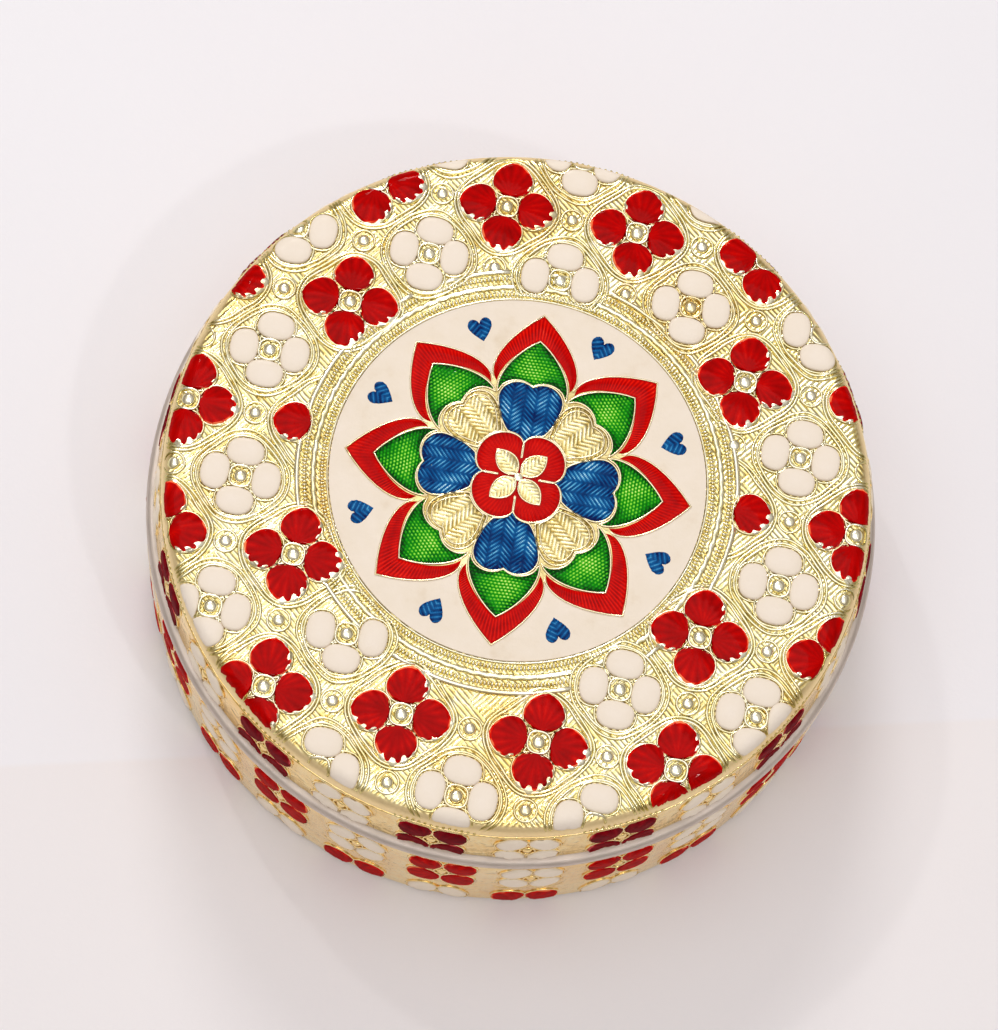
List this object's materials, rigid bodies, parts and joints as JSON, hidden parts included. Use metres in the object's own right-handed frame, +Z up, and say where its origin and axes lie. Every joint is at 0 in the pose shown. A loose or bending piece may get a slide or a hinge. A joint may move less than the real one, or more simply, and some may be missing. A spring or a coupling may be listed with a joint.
{
  "type": "enamel box",
  "caption": "Round slip-lid keepsake box of pressed aluminium, dressed in embossed gilt sheet, with a lotus medallion in coloured enamel and a velvet lining.",
  "frame": {"origin": "centre of the flat underside, where the box stands", "axes": "+Z up along the box's own axis, +X and +Y along the lid pattern's square grid, -Y the side nearest the viewer in the picture"},
  "size_m": [0.0796, 0.0796, 0.028],
  "materials": {
    "base_aluminium": "satin",
    "lid_aluminium": "satin",
    "gilt_sheet": "gloss",
    "gilt_strip": "satin",
    "red_enamel": "gloss",
    "green_enamel": "gloss",
    "blue_enamel": "gloss",
    "ivory_enamel": "satin",
    "red_velvet": "matte"
  },
  "bodies": {
    "base": {"base_pan": "base_aluminium", "base_side_band": "gilt_strip", "base_lining_wall": "red_velvet", "base_lining_pad": "red_velvet"},
    "lid": {"lid_pan": "lid_aluminium", "lid_top_sheet": "gilt_sheet", "lid_side_band": "gilt_strip", "lid_lining_pad": "red_velvet", "enamel_red_petal_1": "red_enamel", "enamel_red_petal_2": "red_enamel", "enamel_red_petal_3": "red_enamel", "enamel_red_petal_4": "red_enamel", "enamel_red_petal_5": "red_enamel", "enamel_red_petal_6": "red_enamel", "enamel_red_petal_7": "red_enamel", "enamel_red_petal_8": "red_enamel", "enamel_green_petal_1": "green_enamel", "enamel_green_petal_2": "green_enamel", "enamel_green_petal_3": "green_enamel", "enamel_green_petal_4": "green_enamel", "enamel_green_petal_5": "green_enamel", "enamel_green_petal_6": "green_enamel", "enamel_green_petal_7": "green_enamel", "enamel_green_petal_8": "green_enamel", "enamel_small_heart_1": "blue_enamel", "enamel_small_heart_2": "blue_enamel", "enamel_small_heart_3": "blue_enamel", "enamel_small_heart_4": "blue_enamel", "enamel_small_heart_5": "blue_enamel", "enamel_small_heart_6": "blue_enamel", "enamel_small_heart_7": "blue_enamel", "enamel_small_heart_8": "blue_enamel", "enamel_blue_heart_1": "blue_enamel", "enamel_blue_heart_2": "blue_enamel", "enamel_blue_heart_3": "blue_enamel", "enamel_blue_heart_4": "blue_enamel", "enamel_red_rosette": "red_enamel", "enamel_ivory_ground": "ivory_enamel"}
  },
  "joints": [
    {"name": "lid_lift", "type": "slide", "parent": "base", "child": "lid", "axis": [0, 0, 1], "range_m": [0, 0.03]}
  ]
}
